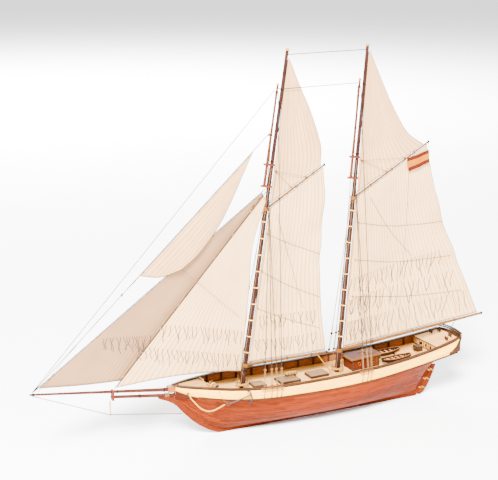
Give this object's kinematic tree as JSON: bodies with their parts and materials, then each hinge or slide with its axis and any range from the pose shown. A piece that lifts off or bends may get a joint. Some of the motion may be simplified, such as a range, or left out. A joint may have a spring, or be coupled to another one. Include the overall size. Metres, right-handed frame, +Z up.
{
  "type": "model sailing ship",
  "caption": "Wooden display model of a gaff schooner: planked hull, raked masts, gaff and head sails, working rudder, swinging booms, deck fittings.",
  "frame": {"origin": "middle of the keel's underside", "axes": "+X aft along the keel, +Y to starboard, +Z up"},
  "size_m": [0.6002, 0.086, 0.4476],
  "materials": {
    "mahogany": "satin varnish",
    "keel_wood": "satin varnish",
    "walnut": "satin varnish",
    "lime_strake": "satin varnish",
    "ply": "bare",
    "deck_wood": "satin varnish",
    "mast_wood": "satin varnish",
    "topmast_wood": "satin varnish",
    "cap_wood": "satin varnish",
    "light_wood": "satin varnish",
    "dinghy_paint": "satin varnish",
    "brass": "satin",
    "iron": "matte",
    "black_line": "matte",
    "tan_line": "matte",
    "sailcloth": "matte",
    "flag_cloth": "matte"
  },
  "bodies": {
    "hull": {"false_keel": "ply", "bulkheads": "ply", "keel_and_posts": "keel_wood", "planking_port": "mahogany", "planking_starboard": "mahogany", "wales": "walnut", "bulwarks": "lime_strake", "cap_rails": "walnut", "transom": "walnut", "stern_rail": "walnut", "timberheads": "walnut", "main_deck": "deck_wood", "foredeck": "deck_wood", "quarterdeck": "deck_wood", "trailboards": "mahogany", "gudgeons": "brass", "channels": "walnut", "deadeyes": "light_wood", "fore_mast": "mast_wood", "main_mast": "mast_wood", "topmasts": "topmast_wood", "spar_caps": "cap_wood", "mast_trucks": "light_wood", "bowsprit": "topmast_wood", "jibboom": "topmast_wood", "dolphin_striker": "light_wood", "shrouds": "black_line", "stays": "black_line", "main_sheet": "black_line", "flying_jib": "sailcloth", "jib": "sailcloth", "fore_staysail": "sailcloth", "windlass_bitts": "walnut", "hatches": "deck_wood", "water_cask": "deck_wood", "pin_rails": "deck_wood", "belaying_pins": "brass", "deckhouse": "mahogany", "deckhouse_roof": "walnut", "dinghies": "dinghy_paint", "helm_stand": "deck_wood", "anchor": "iron", "anchor_cable": "tan_line"},
    "rudder": {"rudder": "mahogany", "pintles": "brass"},
    "windlass": {"windlass_barrel": "deck_wood"},
    "helm": {"helm_wheel": "walnut"},
    "door": {"deckhouse_door": "mahogany"},
    "pump": {"pump_brake": "deck_wood"},
    "fore_sails": {"fore_boom": "light_wood", "fore_gaff": "light_wood", "foresail": "sailcloth", "fore_topsail": "sailcloth", "fore_halyards": "tan_line"},
    "main_sails": {"main_boom": "light_wood", "main_gaff": "light_wood", "mainsail": "sailcloth", "main_topsail": "sailcloth", "main_halyards": "tan_line", "flag": "flag_cloth"}
  },
  "joints": [
    {"name": "rudder_hinge", "type": "hinge", "parent": "hull", "child": "rudder", "pos_m": [0.1396, 0, 0.004], "axis": [0.5, 0, 0.866], "range_deg": [-35, 35]},
    {"name": "fore_sail_swing", "type": "hinge", "parent": "hull", "child": "fore_sails", "pos_m": [-0.1108, 0, 0.05031], "axis": [0.1444, 0, 0.9895], "range_deg": [0, 18]},
    {"name": "main_sail_swing", "type": "hinge", "parent": "hull", "child": "main_sails", "pos_m": [0.0187, 0, 0.0498], "axis": [0.0837, 0, 0.9965], "range_deg": [-20, 20]},
    {"name": "windlass_turn", "type": "hinge", "parent": "hull", "child": "windlass", "pos_m": [-0.146, 0, 0.05783], "axis": [0, 1, 0], "continuous": true},
    {"name": "helm_turn", "type": "hinge", "parent": "hull", "child": "helm", "pos_m": [0.133, 0, 0.06384], "axis": [1, 0, 0], "continuous": true},
    {"name": "door_hinge", "type": "hinge", "parent": "hull", "child": "door", "pos_m": [0.06803, -0.01045, 0.05872], "axis": [-0.0506, 0, 0.9987], "range_deg": [0, 100]},
    {"name": "pump_rock", "type": "hinge", "parent": "hull", "child": "pump", "pos_m": [0.007, -0.006, 0.0528], "axis": [0, 1, 0], "range_deg": [0, 30]}
  ]
}
